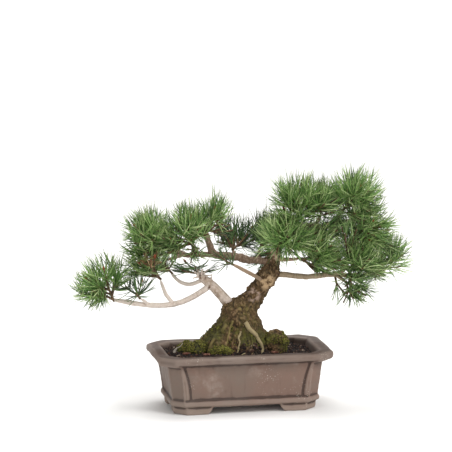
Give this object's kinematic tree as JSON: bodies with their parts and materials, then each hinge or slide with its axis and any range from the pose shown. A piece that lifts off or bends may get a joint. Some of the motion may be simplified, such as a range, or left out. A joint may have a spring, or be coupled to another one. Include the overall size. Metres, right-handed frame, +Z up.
{
  "type": "potted bonsai tree",
  "caption": "Small pine grown as a bonsai, with a flared mossy trunk, spreading branches and tufts of needles, rooted in a rectangular clay pot that stands on feet.",
  "frame": {"origin": "middle of the bounding box's underside, on the surface that the pot's feet stand on", "axes": "+X along the pot's long side, to the right seen from the front; +Y from the front to the back; +Z up"},
  "size_m": [0.3826, 0.1456, 0.2723],
  "materials": {
    "clay": "matte",
    "screen_plastic": "matte",
    "soil": "matte",
    "moss": "matte",
    "stone": "matte",
    "chip_bark": "matte",
    "old_bark": "matte",
    "limb_bark": "matte",
    "pale_root": "matte",
    "needles": "satin"
  },
  "bodies": {
    "root": {"bark_chip_left": "chip_bark", "bark_chip_middle": "chip_bark", "bark_chip_right": "chip_bark", "crown_branch": "old_bark", "drain_screen_left": "screen_plastic", "drain_screen_right": "screen_plastic", "front_right_twig": "limb_bark", "left_limb": "limb_bark", "left_low_branch": "limb_bark", "left_side_branch": "limb_bark", "moss_front": "moss", "moss_left": "moss", "moss_right": "moss", "needles_centre_back_left": "needles", "needles_centre_back_right": "needles", "needles_far_left": "needles", "needles_front_bud": "needles", "needles_inner_back": "needles", "needles_left_inner": "needles", "needles_left_lower_back": "needles", "needles_left_lower_front": "needles", "needles_left_mid_back": "needles", "needles_left_mid_front": "needles", "needles_left_outer_back": "needles", "needles_left_outer_front": "needles", "needles_left_top": "needles", "needles_low_stub": "needles", "needles_lower_right_back": "needles", "needles_lower_right_end": "needles", "needles_lower_right_front": "needles", "needles_lower_right_hanging": "needles", "needles_right_back": "needles", "needles_right_front": "needles", "needles_right_shoulder": "needles", "needles_top_back": "needles", "needles_top_left": "needles", "needles_top_right": "needles", "pale_root": "pale_root", "pebble": "stone", "pot": "clay", "right_branch": "limb_bark", "side_root": "pale_root", "soil": "soil", "thin_branch": "limb_bark", "thin_root": "pale_root", "trunk": "old_bark", "upper_left_branch": "old_bark"}
  },
  "joints": []
}
